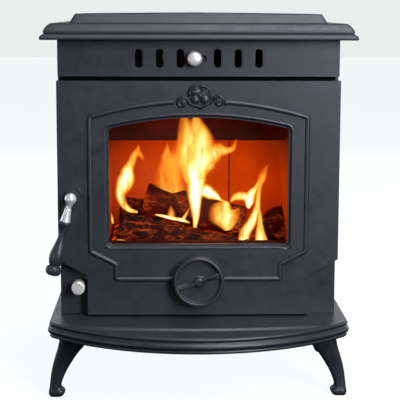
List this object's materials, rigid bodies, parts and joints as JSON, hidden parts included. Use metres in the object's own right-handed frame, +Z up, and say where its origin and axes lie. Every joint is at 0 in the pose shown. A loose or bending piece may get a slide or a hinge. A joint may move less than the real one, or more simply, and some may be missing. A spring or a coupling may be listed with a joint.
{
  "type": "wood burning stove",
  "caption": "Free-standing cast-iron wood burning stove with an arched glazed door, lever latch, spin-wheel air control, airwash slide, riddling rod and rear flue collar.",
  "frame": {"origin": "on the floor, at the middle of the stove's width and depth", "axes": "+Z up, the door faces -Y, +X to the right of someone who faces the door"},
  "size_m": [0.48, 0.5, 0.6],
  "materials": {
    "stove_paint": "matt heat-proof stove paint over cast iron",
    "bare_iron": "rough casting",
    "plain_steel": "plain",
    "polished_steel": "polished",
    "grip": "gloss black, turned",
    "fire_brick": "fire-clay board",
    "seal": "glass-fibre rope and tape",
    "bush": "plain",
    "glass": "clear ceramic glass"
  },
  "bodies": {
    "stove": {"hearth_plate": "stove_paint", "leg_front_left": "stove_paint", "leg_front_right": "stove_paint", "leg_rear_left": "stove_paint", "leg_rear_right": "stove_paint", "leg_studs": "plain_steel", "side_left": "stove_paint", "side_right": "stove_paint", "back_plate": "stove_paint", "front_frame": "stove_paint", "upper_front_panel": "stove_paint", "panel_screws": "plain_steel", "top_plate": "stove_paint", "tie_rods": "plain_steel", "tie_rod_nuts": "plain_steel", "flue_collar": "stove_paint", "flue_gasket": "seal", "flue_bolts": "plain_steel", "brick_left": "fire_brick", "brick_right": "fire_brick", "brick_back_wide": "fire_brick", "brick_back_narrow": "fire_brick", "baffle_plate": "bare_iron", "grate": "bare_iron", "log_guard": "bare_iron", "riddle_rails": "bare_iron", "pan_rails": "bare_iron", "ash_pan": "plain_steel", "ash_pan_handle": "plain_steel", "hinge_brackets": "bare_iron", "hinge_pins": "plain_steel", "hinge_screws": "plain_steel", "latch_keeper": "bare_iron", "keeper_screws": "plain_steel", "slide_rails": "bare_iron", "riddle_bush": "bush"},
    "door": {"door_panel": "stove_paint", "door_ornament": "stove_paint", "window_glass": "glass", "glass_gasket": "seal", "glass_clips": "plain_steel", "clip_screws": "plain_steel", "door_rope": "seal", "handle_bush": "bush", "air_stud": "plain_steel", "air_stud_nut": "plain_steel"},
    "door_handle": {"handle_spindle": "plain_steel", "handle_lever": "polished_steel", "handle_grip": "grip", "latch_cam": "plain_steel", "cam_nut": "plain_steel"},
    "air_washer_body": {"air_washer": "plain_steel"},
    "air_wheel_body": {"air_wheel": "stove_paint"},
    "airwash": {"slide_plate": "bare_iron", "slide_stem": "plain_steel", "slide_knob": "polished_steel"},
    "riddler": {"riddle_rod": "plain_steel", "riddle_knob": "polished_steel", "riddle_plate": "bare_iron"}
  },
  "joints": [
    {"name": "door_swing", "type": "hinge", "parent": "stove", "child": "door", "pos_m": [0.211, -0.097, 0.347], "axis": [0, 0, 1], "range_deg": [0, 110]},
    {"name": "handle_turn", "type": "hinge", "parent": "door", "child": "door_handle", "pos_m": [-0.195, -0.138, 0.32], "axis": [0, 1, 0], "range_deg": [-14, 76]},
    {"name": "air_wheel_travel", "type": "slide", "parent": "door", "child": "air_washer_body", "axis": [0, -1, 0], "range_m": [0, 0.0091]},
    {"name": "air_wheel_turn", "type": "hinge", "parent": "air_washer_body", "child": "air_wheel_body", "pos_m": [0, -0.12, 0.189], "axis": [0, -1, 0], "range_deg": [0, 2160]},
    {"name": "airwash_slide", "type": "slide", "parent": "stove", "child": "airwash", "axis": [1, 0, 0], "range_m": [0, 0.014]},
    {"name": "riddle_pull", "type": "slide", "parent": "stove", "child": "riddler", "axis": [0, -1, 0], "range_m": [0, 0.04]}
  ],
  "couplings": [
    {"joint": "air_wheel_travel", "follows": "air_wheel_turn", "m_per_rad": 0.00023873}
  ]
}
